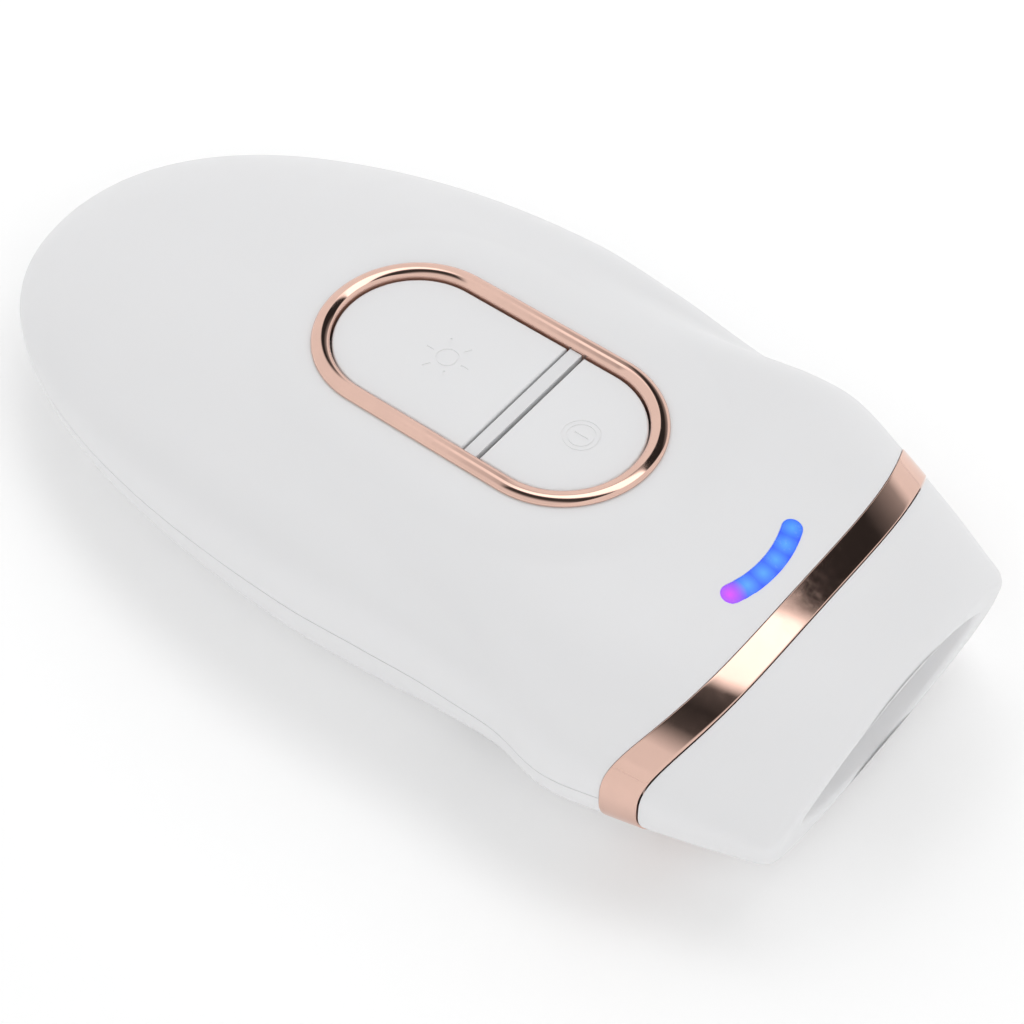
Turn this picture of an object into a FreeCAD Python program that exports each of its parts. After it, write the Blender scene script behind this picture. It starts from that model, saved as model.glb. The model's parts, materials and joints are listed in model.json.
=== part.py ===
import FreeCAD, Part
import math
import os

# IPL hair remover: egg-shaped grip, rose-gold neck band and lamp head, lying on its back with its buttons up.
# All lengths are millimetres. While it is built, X runs from the tail tip to the lamp head, Y across and Z up,
# with Z = 0 at the body's widest level. At the end everything moves, so that the origin is the bottom centre
# of its box.

V = FreeCAD.Vector
X_AXIS, Y_AXIS, Z_AXIS = V(1, 0, 0), V(0, 1, 0), V(0, 0, 1)

# Outer body
tail_length = 81.0                  # rounded tail, from the tip to the widest section
body_length = 160.8                 # tail tip to the lamp face at mid height
station_x = [81, 96, 107, 118, 128, 138, 149, 160]
half_width = [39.3, 38.3, 37.6, 38.4, 39.2, 36.8, 33.6, 29.7]
top_height = [18.4, 18.5, 18.3, 17.6, 16.6, 15.2, 12.8, 9.8]
bottom_depth = [16.4, 16.6, 14.9, 13.0, 12.1, 11.7, 11.4, 11.1]
tail_power = {"width": 2.28, "top": 1.85, "bottom": 1.5}
top_power_x = [0, 81, 120, 160]     # squareness of the upper half of each section
top_power = [1.81, 3.8, 3.85, 1.85]
bottom_power = 2.9                  # squareness of the lower half
seam_drop_tail = 4.85               # the seam sinks towards the tail and, less, towards the head
seam_drop_head = 2.0
face_tilt_deg = 5.7                 # the lamp face leans, its top edge furthest forward
foot_z = -17.85                     # the underside is flat where it rests
skin_start_deg = -50.0              # the skin closes on itself here, clear of every joint and opening

# Soft valley down each side and round under the neck: x, girth angle (90 is the top), depth, half width
valley_path = [(22, 24, 0.0, 10), (40, 42, 0.4, 9), (60, 53, 0.8, 8.5), (82, 57, 1.1, 8), (96, 49, 1.6, 7),
               (107, 38, 1.9, 6.5), (114, 28, 1.6, 6.5), (119, 15, 1.1, 7), (120, -5, 1.0, 8),
               (118, -40, 1.4, 10), (115, -90, 1.3, 12)]
valley_mm_per_degree = 0.5
valley_bead_spacing = 3.0

# Skins, measured inwards from the outside
wall = 2.0
collar_wall = 1.6
band_proud = 0.15
section_points = 60
section_count = 52

# Neck band: its edges are nearly straight across the top and swing back at the sides
band_back_side_x, band_back_bulge = 137.7, 5.2
band_front_side_x, band_front_bulge = 142.3, 4.9
band_power = 3.5
band_gap = 0.12

# Button group, built flat on its own plane and then set on the plateau
ring_x = 88.05                      # centre of the stadium, from the tail tip
ring_z = 16.8                       # height of the plateau at that centre
ring_pitch_deg = -1.34               # nose-down slope of the plateau
ring_outer_radius, ring_inner_radius = 15.3, 12.45
ring_half_straight = 13.9
ring_rise = 1.0
plateau_blend = 9.0
button_gap = 0.25
bridge_centre, bridge_width, groove = 6.6, 2.1, 0.55

# Light arc
arc_x, arc_half_span, arc_radius, arc_half_width = 138.25, 7.35, 20.5, 1.55

# Lamp face
recess_half_length, recess_half_height, recess_depth = 20.5, 8.8, 7.0
recess_floor_half_length, recess_floor_half_height = 17.5, 6.2
face_centre_z = -2.7
window_length, window_height = 30.0, 9.0

# Power inlet
jack_z, jack_face_x = -6.0, 6.8
jack_nose_radius, jack_bore_radius, jack_pin_radius = 2.7, 1.8, 0.65


def smooth_step(t):
    t = min(max(t, 0.0), 1.0)
    return t * t * (3 - 2 * t)


def straight_between(x, xs, values):
    for i in range(len(xs) - 1):
        if x <= xs[i + 1]:
            break
    share = min(max((x - xs[i]) / (xs[i + 1] - xs[i]), 0.0), 1.0)
    return values[i] + share * (values[i + 1] - values[i])


def smooth_through(x, xs, values):
    """Smooth curve through the station values, level where it meets the rounded tail."""
    last = len(xs) - 1
    slopes = [0.0] + [(values[i + 1] - values[i - 1]) / (xs[i + 1] - xs[i - 1]) for i in range(1, last)]
    slopes.append((values[last] - values[last - 1]) / (xs[last] - xs[last - 1]))
    i = max(k for k in range(last) if xs[k] <= x)
    h = xs[i + 1] - xs[i]
    s = min((x - xs[i]) / h, 1.0)
    return ((2 * s**3 - 3 * s**2 + 1) * values[i] + (s**3 - 2 * s**2 + s) * h * slopes[i]
            + (3 * s**2 - 2 * s**3) * values[i + 1] + (s**3 - s**2) * h * slopes[i + 1])


def body_size(x, values, power):
    """Half width, top height or bottom depth of the body at x."""
    if x >= tail_length:
        return smooth_through(x, station_x, values)
    u = (tail_length - x) / tail_length
    return values[0] * max(1 - u**power, 0.0) ** (1 / power)


def seam_height(x):
    u = x / 160.0
    return -seam_drop_tail * (1 - u) ** 2 - seam_drop_head * u**2


def valley_beads():
    """Round soft dents strung along the valley path, whose sum has the valley's depth.

    Each is its x, girth, strength and width.
    """
    beads = []
    for (xa, ga, da, wa), (xb, gb, db, wb) in zip(valley_path, valley_path[1:]):
        length = math.hypot(xb - xa, (gb - ga) * valley_mm_per_degree)
        count = math.ceil(length / valley_bead_spacing)
        for k in range(count):
            t = (k + 0.5) / count
            width, depth = wa + t * (wb - wa), da + t * (db - da)
            strength = depth * length / count / (width * math.sqrt(math.pi))
            girth = ga + t * (gb - ga)
            beads += [(xa + t * (xb - xa), g, strength, width) for g in (girth, -180 - girth)]
    return beads


beads = valley_beads()


def valley_depth(x, girth):
    """Depth of the side valley at x and at a girth angle in degrees."""
    total = 0.0
    for bead_x, bead_girth, strength, width in beads:
        away = math.hypot(x - bead_x, (girth - bead_girth) * valley_mm_per_degree)
        total += strength * math.exp(-(away / width) ** 2)
    return total


def plateau_height(x):
    return ring_z - math.tan(math.radians(ring_pitch_deg)) * (x - ring_x)


def plateau_share(x, y):
    """1 on the flat field under the button group, falling to 0 outside it."""
    along = max(abs(x - ring_x) - ring_half_straight, 0.0)
    outside = math.hypot(along, y) - (ring_outer_radius + 0.6)
    return 1 - smooth_step(outside / plateau_blend)


def body_point(x, turn, inset):
    """Point on the skin that lies inset inside the body; turn is 0 at the +Y side and a quarter at the top."""
    b = max(body_size(x, half_width, tail_power["width"]) - inset, 0.05)
    upper = math.sin(turn) >= 0
    if upper:
        h = max(body_size(x, top_height, tail_power["top"]) - inset, 0.05)
        n = straight_between(x, top_power_x, top_power)
    else:
        h = max(body_size(x, bottom_depth, tail_power["bottom"]) - inset, 0.05)
        n = bottom_power
    c, s = math.cos(turn), math.sin(turn)
    reach = (abs(c) ** n + abs(s) ** n) ** (-1 / n)
    y, z = b * c * reach, h * s * reach
    girth = math.degrees(math.asin(min(abs(s * reach) ** (n / 2), 1.0))) * (1 if upper else -1)
    ny = math.copysign(abs(y / b) ** (n - 1) / b, y)
    nz = math.copysign(abs(z / h) ** (n - 1) / h, z)
    sink = valley_depth(x, girth) / math.hypot(ny, nz)
    y, z = y - sink * ny, z - sink * nz + seam_height(x)
    if upper:
        share = plateau_share(x, y)
        z += share * (plateau_height(x) - inset - z)
    forward = smooth_step((x - band_back_side_x) / (body_length - band_back_side_x))
    return V(x + forward * math.tan(math.radians(face_tilt_deg)) * (z - face_centre_z), y, z)


def skin(inset):
    """Closed solid bounded by the skin that lies inset inside the body: a smooth surface and two flat ends."""
    start = 0.1
    while body_size(start, bottom_depth, tail_power["bottom"]) < 1.2 * inset + 0.3:
        start += 0.1
    around = [k / section_points for k in range(section_points + 1)]
    rows = []
    for i in range(section_count):
        x = start + (body_length + 1.0 - start) * (i / (section_count - 1)) ** 1.45
        ring = Part.BSplineCurve()
        points = [body_point(x, 2 * math.pi * t + math.radians(skin_start_deg), inset) for t in around[:-1]]
        ring.interpolate(Points=points, PeriodicFlag=True, Parameters=around)
        rows.append(ring.getPoles())
    along = [0.0]
    for row, following in zip(rows, rows[1:]):
        along.append(along[-1] + sum((p - q).Length for p, q in zip(row, following)) / len(row))
    columns = []
    for k in range(len(rows[0])):
        rib = Part.BSplineCurve()
        rib.interpolate(Points=[row[k] for row in rows], Parameters=along)
        columns.append(rib.getPoles())
    surface = Part.BSplineSurface()
    surface.buildFromPolesMultsKnots(columns, ring.getMultiplicities(), rib.getMultiplicities(),
                                     ring.getKnots(), rib.getKnots(), True, False, 3, 3)
    side = surface.toShape()
    ends = [Part.Face(Part.Wire([e])) for e in side.Edges if e.isClosed()]
    shell = Part.Shell([side] + ends)
    shell.sewShape()
    return Part.Solid(shell)


def box(x0, x1, y0, y1, z0, z1):
    return Part.makeBox(x1 - x0, y1 - y0, z1 - z0, V(x0, y0, z0))


def rod(r, length, at, along=Z_AXIS):
    return Part.makeCylinder(r, length, at, along)


def both_sides(shape):
    """The shape and its mirror image across the middle plane."""
    return [shape, shape.mirror(V(0, 0, 0), Y_AXIS)]


def rounded_plate(length, width, thick, corner, at):
    """Plate with rounded upright corners, its centre at the middle of its underside."""
    plate = box(-length / 2, length / 2, -width / 2, width / 2, 0, thick)
    uprights = [e for e in plate.Edges if abs(e.Vertexes[0].Z - e.Vertexes[1].Z) > thick / 2]
    plate = plate.makeFillet(corner, uprights)
    plate.translate(at)
    return plate


def stadium(half_straight, radius, z0, z1):
    """Upright solid with a stadium outline along X."""
    a = half_straight
    outline = Part.Wire([
        Part.LineSegment(V(-a, radius, z0), V(a, radius, z0)).toShape(),
        Part.Arc(V(a, radius, z0), V(a + radius, 0, z0), V(a, -radius, z0)).toShape(),
        Part.LineSegment(V(a, -radius, z0), V(-a, -radius, z0)).toShape(),
        Part.Arc(V(-a, -radius, z0), V(-a - radius, 0, z0), V(-a, radius, z0)).toShape()])
    return Part.Face(outline).extrude(V(0, 0, z1 - z0))


def round_path(points, radius):
    """Path of straight runs joined by tangent arcs."""
    edges, last = [], points[0]
    for before, corner, after in zip(points, points[1:], points[2:]):
        back, on = (before - corner).normalize(), (after - corner).normalize()
        half = back.getAngle(on) / 2
        cut = min(radius / math.tan(half), 0.45 * min((before - corner).Length, (after - corner).Length))
        r = cut * math.tan(half)
        middle = corner + (back + on).normalize() * (r / math.sin(half) - r)
        edges.append(Part.LineSegment(last, corner + back * cut).toShape())
        edges.append(Part.Arc(corner + back * cut, middle, corner + on * cut).toShape())
        last = corner + on * cut
    edges.append(Part.LineSegment(last, points[-1]).toShape())
    return Part.Wire(edges)


def lead(points, radius=0.8, bend=5.0):
    """Round insulated lead along a path."""
    path = round_path([V(*p) for p in points], bend)
    start = path.Edges[0]
    along = start.tangentAt(start.FirstParameter)
    ring = Part.Wire([Part.makeCircle(radius, V(*points[0]), along)])
    return path.makePipeShell([ring], True, False)


def set_on_plateau(shape):
    """Moves a shape of the button group from its own flat plane onto the plateau."""
    placed = shape.copy()
    placed.rotate(V(0, 0, 0), Y_AXIS, ring_pitch_deg)
    placed.translate(V(ring_x, 0, ring_z))
    return placed


def set_on_face(shape):
    """Moves a shape of the lamp group onto the leaning face: its X = 0 is the face and -X goes inwards."""
    placed = shape.copy()
    placed.rotate(V(0, 0, 0), Y_AXIS, face_tilt_deg)
    placed.translate(V(body_length, 0, face_centre_z))
    return placed


def band_edge(side_x, bulge, shift):
    """Plan curve across the body where the casing, band or head ends."""
    limit, b = 41.0, 36.2
    points = []
    for k in range(13):
        y = -limit + 2 * limit * k / 12
        points.append(V(side_x + shift + bulge * (1 - abs(y / b) ** band_power), y, -40))
    curve = Part.BSplineCurve()
    curve.interpolate(points)
    return curve.toShape(), points[0], points[-1]


def behind(side_x, bulge, shift, back_x=-20.0):
    """Everything between back_x and a band edge, or beyond it when back_x is in front of the edge."""
    edge, right, left = band_edge(side_x, bulge, shift)
    outline = Part.Wire([edge,
                         Part.LineSegment(left, V(back_x, left.y, -40)).toShape(),
                         Part.LineSegment(V(back_x, left.y, -40), V(back_x, right.y, -40)).toShape(),
                         Part.LineSegment(V(back_x, right.y, -40), right).toShape()])
    return Part.Face(outline).extrude(V(0, 0, 80))


def above_seam(shift):
    """Everything above the seam surface, which curves gently along the body."""
    points = [V(x, -60, seam_height(x) + shift) for x in (-5, 20, 50, 80, 110, 140, 170)]
    curve = Part.BSplineCurve()
    curve.interpolate(points)
    outline = Part.Wire([curve.toShape(),
                         Part.LineSegment(points[-1], V(170, -60, 60)).toShape(),
                         Part.LineSegment(V(170, -60, 60), V(-5, -60, 60)).toShape(),
                         Part.LineSegment(V(-5, -60, 60), points[0]).toShape()])
    return Part.Face(outline).extrude(V(0, 120, 0))


def arc_slot(half_width, z0, z1):
    """Upright curved slot of the light arc, hollow side towards the buttons."""
    centre_x = arc_x - arc_radius
    swing = math.asin(arc_half_span / arc_radius)

    def on(radius, angle):
        return V(centre_x + radius * math.cos(angle), radius * math.sin(angle), z0)

    outer, inner = arc_radius + half_width, arc_radius - half_width
    tip = half_width / arc_radius
    outline = Part.Wire([
        Part.Arc(on(outer, -swing), on(outer, 0), on(outer, swing)).toShape(),
        Part.Arc(on(outer, swing), on(arc_radius, swing + tip), on(inner, swing)).toShape(),
        Part.Arc(on(inner, swing), on(inner, 0), on(inner, -swing)).toShape(),
        Part.Arc(on(inner, -swing), on(arc_radius, -swing - tip), on(outer, -swing)).toShape()])
    return Part.Face(outline).extrude(V(0, 0, z1 - z0))


def lens_wire(x, half_length, half_height):
    """Lens outline across the lamp face: two shallow arcs that meet in rounded ends."""
    y, z, tip = half_length, half_height, half_height * 0.22
    return Part.Wire([
        Part.Arc(V(x, -y, tip), V(x, 0, z), V(x, y, tip)).toShape(),
        Part.Arc(V(x, y, tip), V(x, y + tip * 0.8, 0), V(x, y, -tip)).toShape(),
        Part.Arc(V(x, y, -tip), V(x, 0, -z), V(x, -y, -tip)).toShape(),
        Part.Arc(V(x, -y, -tip), V(x, -y - tip * 0.8, 0), V(x, -y, tip)).toShape()])


def recess(grow, depth, past):
    """Tapered lens-shaped funnel of the lamp face, grown outwards by grow."""
    slope = (recess_half_height - recess_floor_half_height) / recess_depth
    mouth = lens_wire(past, recess_half_length + grow, recess_half_height + slope * past + grow)
    floor = lens_wire(-depth, recess_floor_half_length + grow,
                      recess_half_height - slope * depth + grow)
    return Part.makeLoft([mouth, floor], True, True)


# Casing

screw_places = [(27.0, 14.0), (111.0, 28.0)]
vent_rows = [(107.6, 4), (124.0, 4)]


def casing_posts(z0, z1, radius, hole_radius, hole_z0, hole_z1):
    posts, holes = [], []
    for x, y in screw_places:
        posts += both_sides(rod(radius, z1 - z0, V(x, y, z0)))
        holes += both_sides(rod(hole_radius, hole_z1 - hole_z0, V(x, y, hole_z0)))
    return posts, holes


def jack_hole():
    return rod(jack_nose_radius + 0.1, jack_face_x + 12, V(-5, 0, jack_z), X_AXIS)


def vent_slot(x):
    slot = stadium(8.0, 0.8, -35, -5)
    slot.rotate(V(0, 0, 0), Z_AXIS, 90)
    slot.translate(V(x, 0, 0))
    return slot


def top_casing(grip, inner, middle):
    shell = grip.common(above_seam(0.06)).cut(inner)
    posts, holes = casing_posts(-1.5, 25, 3.0, 0.9, -2, 7)
    posts = [p.common(middle).common(above_seam(0.06)) for p in posts]
    shell = shell.fuse(posts)
    return shell.cut(holes + [set_on_plateau(stadium(ring_half_straight, 14.25, -6, 5)),
                              arc_slot(arc_half_width, 0, 25), jack_hole()])


def bottom_casing(grip, inner, middle):
    shell = grip.cut(above_seam(-0.06)).cut(inner)
    posts, holes = casing_posts(-25, -1.7, 3.8, 1.2, -30, 0)
    for x, y in board_screw_places:
        posts.append(rod(2.6, board_z0 + 26, V(x, y, -26)))
        holes.append(rod(0.8, 5, V(x, y, -11)))
    posts = [p.common(middle).cut(above_seam(-0.06)) for p in posts]
    shell = shell.fuse(posts)
    holes.append(jack_hole())
    for x, y in screw_places:
        holes += both_sides(rod(2.6, 30, V(x, y, screw_head_z - 30)))
    for first_x, count in vent_rows:
        holes += [vent_slot(first_x + 3.2 * k) for k in range(count)]
    return shell.cut(holes)


def head_casing(outer, inner, collar_inner):
    front = behind(band_front_side_x, band_front_bulge, band_gap, 200)
    head = outer.common(front).common(set_on_face(box(-60, 0, -60, 60, -60, 60)))
    shell = head.cut(inner)
    collar_zone = behind(band_front_side_x, band_front_bulge, 4.0).cut(
        behind(band_back_side_x, band_back_bulge, -2.6))
    collar = inner.common(collar_zone).cut(collar_inner)
    front_wall = head.common(set_on_face(box(-wall, 1, -60, 60, -60, 60)))
    funnel = set_on_face(recess(wall, recess_depth + wall, 0)).common(head)
    body = shell.fuse([collar, front_wall, funnel])
    body = body.cut(set_on_face(recess(0, recess_depth, 1.0)))
    opening = box(-recess_depth - wall - 1, -recess_depth + 1, -window_length / 2, window_length / 2,
                  -window_height / 2, window_height / 2)
    return body.cut(set_on_face(opening))


def neck_band(proud, inner):
    zone = behind(band_front_side_x, band_front_bulge, -0.02).cut(
        behind(band_back_side_x, band_back_bulge, 0.02))
    return proud.common(zone).cut(inner)


# Button group (flat, Z = 0 on the plateau)

def button_ring():
    """Half-round trim ring on a narrow skirt, made of two straight bars and two half turns."""
    inner, outer, skirt = ring_inner_radius, ring_outer_radius, 14.2
    middle = (inner + outer) / 2

    def profile(x):
        return Part.Face(Part.Wire([
            Part.LineSegment(V(x, inner, -2.0), V(x, inner, 0.2)).toShape(),
            Part.Arc(V(x, inner, 0.2), V(x, middle, ring_rise), V(x, outer, 0.12)).toShape(),
            Part.LineSegment(V(x, outer, 0.12), V(x, outer - 0.15, 0.02)).toShape(),
            Part.LineSegment(V(x, outer - 0.15, 0.02), V(x, skirt, 0.02)).toShape(),
            Part.LineSegment(V(x, skirt, 0.02), V(x, skirt, -2.0)).toShape(),
            Part.LineSegment(V(x, skirt, -2.0), V(x, inner, -2.0)).toShape()]))

    a = ring_half_straight
    bar = profile(-a).extrude(V(2 * a, 0, 0))
    turn = profile(a).revolve(V(a, 0, 0), Z_AXIS, -180)
    pieces = [bar, bar.mirror(V(0, 0, 0), Y_AXIS), turn, turn.mirror(V(0, 0, 0), X_AXIS)]
    return pieces[0].fuse(pieces[1:]).removeSplitter()


def bridge_edges():
    """The four x positions of the bridge and its two grooves, tail side first."""
    half = bridge_width / 2
    return (bridge_centre - half - groove, bridge_centre - half,
            bridge_centre + half, bridge_centre + half + groove)


def button_cap(x_from, x_to):
    """Cap with softened top edges, hollow underneath, with a stem over its switch and hooked legs."""
    def trimmed(radius, z0, z1, inset):
        body = stadium(ring_half_straight, radius, z0, z1)
        return body.common(box(x_from + inset, x_to - inset, -30, 30, z0, z1))

    cap = trimmed(ring_inner_radius - button_gap, -2.7, -0.1, 0)
    top_edges = [e for e in cap.Edges if all(abs(v.Z + 0.1) < 1e-6 for v in e.Vertexes)]
    cap = cap.makeFillet(0.35, top_edges)
    return cap.cut(trimmed(ring_inner_radius - button_gap - 1.1, -3, -1.5, 1.1))


def leg(x, y, outward):
    """Hooked leg that keeps a button from lifting out of its frame."""
    shaft = box(x - 1.5, x + 1.5, y - 0.6, y + 0.6, -6.6, -1.5)
    hook = box(x - 1.5, x + 1.5, min(y, y + outward * 1.5), max(y, y + outward * 1.5), -6.2, -5.1)
    return shaft.fuse(hook)


leg_places = {"flash": (-9.0, 8.4), "power": (15.5, 8.4)}
stem_places = {"flash": -9.0, "power": 15.5}


def flash_button():
    x_end = bridge_edges()[0]
    cap = button_cap(-40, x_end)
    x, y = leg_places["flash"]
    stem = rod(2.2, 2.75, V(stem_places["flash"], 0, -4.15))
    cap = cap.fuse([stem, leg(x, y, 1), leg(x, -y, -1)]).removeSplitter()
    return cap.cut(sun_symbol())


def power_button():
    cap = button_cap(bridge_edges()[3], 40)
    x, y = leg_places["power"]
    stem = rod(2.2, 2.75, V(stem_places["power"], 0, -4.15))
    cap = cap.fuse([stem, leg(x, y, 1), leg(x, -y, -1)]).removeSplitter()
    return cap.cut(power_symbol())


symbol_depth = 0.08


def ring_groove(x, radius, width):
    disc = rod(radius + width / 2, 1, V(x, 0, -0.1 - symbol_depth))
    return disc.cut(rod(radius - width / 2, 1, V(x, 0, -0.1 - symbol_depth)))


def sun_symbol():
    x, groove_width = sun_x - ring_x, 0.3
    marks = [ring_groove(x, 1.65, groove_width)]
    for k in range(6):
        ray = box(2.6, 3.9, -groove_width / 2, groove_width / 2, -0.1 - symbol_depth, 1)
        ray.rotate(V(0, 0, 0), Z_AXIS, 60 * k)
        ray.translate(V(x, 0, 0))
        marks.append(ray)
    return marks


def power_symbol():
    x, groove_width = power_x - ring_x, 0.3
    bar = box(x - 1.2, x + 1.2, -groove_width / 2, groove_width / 2, -0.1 - symbol_depth, 1)
    return [ring_groove(x, 2.8, groove_width), ring_groove(x, 2.05, groove_width), bar]


sun_x, power_x = 80.4, 105.1


def button_frame():
    """Plate under the buttons with the bridge bar, a rim under the casing edge and legs to the switch board."""
    plate = stadium(ring_half_straight, 16.4, -4.9, -3.5)
    rim = stadium(ring_half_straight, 16.4, -3.5, -2.3).cut(stadium(ring_half_straight, 14.9, -4, -1))
    back, front = bridge_edges()[1:3]
    bar = box(back, front, -20, 20, -3.5, -0.05).common(
        stadium(ring_half_straight, ring_inner_radius - 0.08, -4, 0))
    frame = plate.fuse([rim, bar])
    for x, y in board_legs:
        frame = frame.fuse(both_sides(rod(1.6, 5.0, V(x, y, -9.9))))
    for name in ("flash", "power"):
        frame = frame.cut(rod(3.0, 3, V(stem_places[name], 0, -6)))
        x, y = leg_places[name]
        frame = frame.cut(both_sides(box(x - 1.8, x + 1.8, y - 0.9, y + 1.0, -6, -3)))
    return frame.removeSplitter()


board_legs = [(-20.0, 8.5), (20.6, 8.5)]
switch_board_top = -9.9


def switch_body(x):
    body = rounded_plate(6, 6, 3.4, 0.4, V(x, 0, switch_board_top))
    return body.cut(rod(1.65, 3, V(x, 0, switch_board_top + 1.4)))


def switch_plunger(x):
    return rod(1.6, 3.75, V(x, 0, -7.95))


def switch_board():
    board = rounded_plate(46, 22, 1.2, 2.0, V(0, 0, switch_board_top - 1.2))
    for x, y in board_legs:
        board = board.cut(both_sides(rod(0.6, 4, V(x, y, switch_board_top - 2))))
    return board


# Light arc

def indicator_lens(outer, collar_inner):
    return arc_slot(arc_half_width - 0.06, 0, 25).common(outer).cut(collar_inner)


def lens_underside_z():
    return body_point(arc_x, math.pi / 2, wall + collar_wall).z


def indicator_leds():
    leds, top = [], lens_underside_z() - 0.5
    for k in range(5):
        angle = (k - 2) / 2 * math.asin(arc_half_span / arc_radius) * 0.92
        chip = box(-0.8, 0.8, -1.3, 1.3, top - 0.9, top)
        chip.rotate(V(0, 0, 0), Z_AXIS, math.degrees(angle))
        chip.translate(V(arc_x - arc_radius + arc_radius * math.cos(angle), arc_radius * math.sin(angle), 0))
        leds.append(chip)
    return Part.makeCompound(leds)


def indicator_board():
    return rounded_plate(9, 20, 1.0, 1.0, V(arc_x - 1.5, 0, lens_underside_z() - 2.4))


# Main electronics

board_x0, board_x1, board_y0, board_y1, board_z0, board_z1 = 44.0, 106.0, -27.0, 3.0, -6.6, -5.0
board_screw_places = [(48.0, -1.0), (48.0, -23.0), (102.0, -1.0), (102.0, -23.0)]


def main_board():
    board = rounded_plate(board_x1 - board_x0, board_y1 - board_y0, board_z1 - board_z0, 2.0,
                          V((board_x0 + board_x1) / 2, (board_y0 + board_y1) / 2, board_z0))
    return board.cut([rod(1.1, 4, V(x, y, board_z0 - 1)) for x, y in board_screw_places])


def board_screws():
    screws = []
    for x, y in board_screw_places:
        head = rod(1.9, 1.1, V(x, y, board_z1)).cut(
            [box(x - 1.4, x + 1.4, y - 0.25, y + 0.25, board_z1 + 0.6, board_z1 + 2),
             box(x - 0.25, x + 0.25, y - 1.4, y + 1.4, board_z1 + 0.6, board_z1 + 2)])
        screws.append(head.fuse(rod(0.8, 5.4, V(x, y, board_z1 - 5.4))).removeSplitter())
    return Part.makeCompound(screws)


capacitor_x, capacitor_y, capacitor_z, capacitor_r, capacitor_length = 31.6, 14.5, -1.4, 9.0, 32.5


def flash_capacitor():
    at = V(capacitor_x, capacitor_y, capacitor_z)
    can = rod(capacitor_r, capacitor_length, at, X_AXIS)
    can = can.makeFillet(1.0, [e for e in can.Edges if e.Curve.TypeId == "Part::GeomCircle"])
    crimp_x = capacitor_x + capacitor_length - 4
    crimp = Part.makeTorus(capacitor_r + 0.5, 1.0, V(crimp_x, capacitor_y, capacitor_z), X_AXIS)
    return can.cut(crimp)


transformer_x, transformer_y = 54.2, -13.0


def transformer_core():
    x, y = transformer_x, transformer_y
    outer = box(x - 9.5, x + 9.5, y - 8, y + 8, board_z1, board_z1 + 12)
    for side in (-1, 1):
        window = box(min(side * 3, side * 6.8), max(side * 3, side * 6.8), -9, 9, 2.2, 9.8)
        window.translate(V(x, y, board_z1))
        outer = outer.cut(window)
    return outer


def transformer_winding():
    x, y = transformer_x, transformer_y
    coil = rounded_plate(13.4, 19.2, 7.4, 2.2, V(x, y, board_z1 + 2.3))
    return coil.cut(box(x - 3, x + 3, y - 8, y + 8, board_z1, board_z1 + 12))


def trigger_coil():
    ends = [rod(4.4, 1.2, V(x, -20, board_z1 + 4.4), X_AXIS) for x in (82.8, 95)]
    bobbin = rod(3.6, 11, V(84, -20, board_z1 + 4.4), X_AXIS)
    return bobbin.fuse(ends).removeSplitter()


def board_controller():
    chip = box(78, 88, -9, 1, board_z1 + 0.2, board_z1 + 1.8)
    legs = []
    for k in range(7):
        x = 79 + 1.33 * k
        legs += [box(x - 0.2, x + 0.2, -10.2, -9, board_z1, board_z1 + 0.9),
                 box(x - 0.2, x + 0.2, 1, 2.2, board_z1, board_z1 + 0.9)]
    return chip.fuse(legs).removeSplitter()


# Lamp group (X = 0 on the lamp face, -X inwards)

def window_frame():
    frame = rounded_plate(38, 13, 2.6, 2.0, V(0, 0, 0))
    frame = frame.cut(box(-13.5, 13.5, -3.6, 3.6, -1, 4))
    frame = frame.cut(box(-15.8, 15.8, -5.3, 5.3, 0.8, 4))
    frame.rotate(V(0, 0, 0), Z_AXIS, 90)
    frame.rotate(V(0, 0, 0), Y_AXIS, 90)
    frame.translate(V(-recess_depth - wall - 2.62, 0, 0))
    return frame


def filter_glass():
    glass = box(-1.75, 0, -15.7, 15.7, -5.2, 5.2)
    glass.translate(V(-recess_depth - wall - 0.05, 0, 0))
    return glass


def reflector():
    """Bent trough, open towards the window."""
    depth, half_height, length, sheet = 9.0, 5.6, 30.0, 0.5
    mouth_x, y = -recess_depth - wall - 2.9, -length / 2

    def trough(grow):
        z, d = half_height + grow, depth + grow
        outline = Part.Wire([
            Part.Arc(V(mouth_x, y, z), V(mouth_x - d, y, 0), V(mouth_x, y, -z)).toShape(),
            Part.LineSegment(V(mouth_x, y, -z), V(mouth_x, y, z)).toShape()])
        return Part.Face(outline).extrude(V(0, length, 0))

    return trough(sheet).cut(trough(0))


lamp_x, lamp_radius, lamp_half_length = -16.8, 2.2, 19.5


def lamp_tube():
    tube = rod(lamp_radius, 2 * lamp_half_length, V(lamp_x, -lamp_half_length, 0), Y_AXIS)
    return tube.cut(rod(1.5, 2 * lamp_half_length - 4, V(lamp_x, 2 - lamp_half_length, 0), Y_AXIS))


def lamp_electrodes():
    pin = rod(0.7, 3.5, V(lamp_x, lamp_half_length, 0), Y_AXIS)
    cap = rod(2.6, 1.0, V(lamp_x, lamp_half_length, 0), Y_AXIS)
    return Part.makeCompound(both_sides(cap.fuse(pin).removeSplitter()))


def lamp_holders():
    block = box(lamp_x - 4, lamp_x + 4, 15.6, 18.8, -6.2, 6.2)
    block = block.cut(rod(lamp_radius + 0.05, 10, V(lamp_x, 12, 0), Y_AXIS))
    return Part.makeCompound(both_sides(block))


def heat_sink():
    """Block with a cradle for the reflector and fins towards the fan."""
    sink = box(-34, -22.2, -15, 15, -7.5, 5.0)
    for k in range(9):
        y = -12 + 3.0 * k
        sink = sink.cut(box(-35, -25.2, y - 0.75, y + 0.75, -8, 8))
    return sink


# Fan

fan_x, fan_z, fan_size, fan_depth = 113.5, 0.6, 20.0, 7.0


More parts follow.
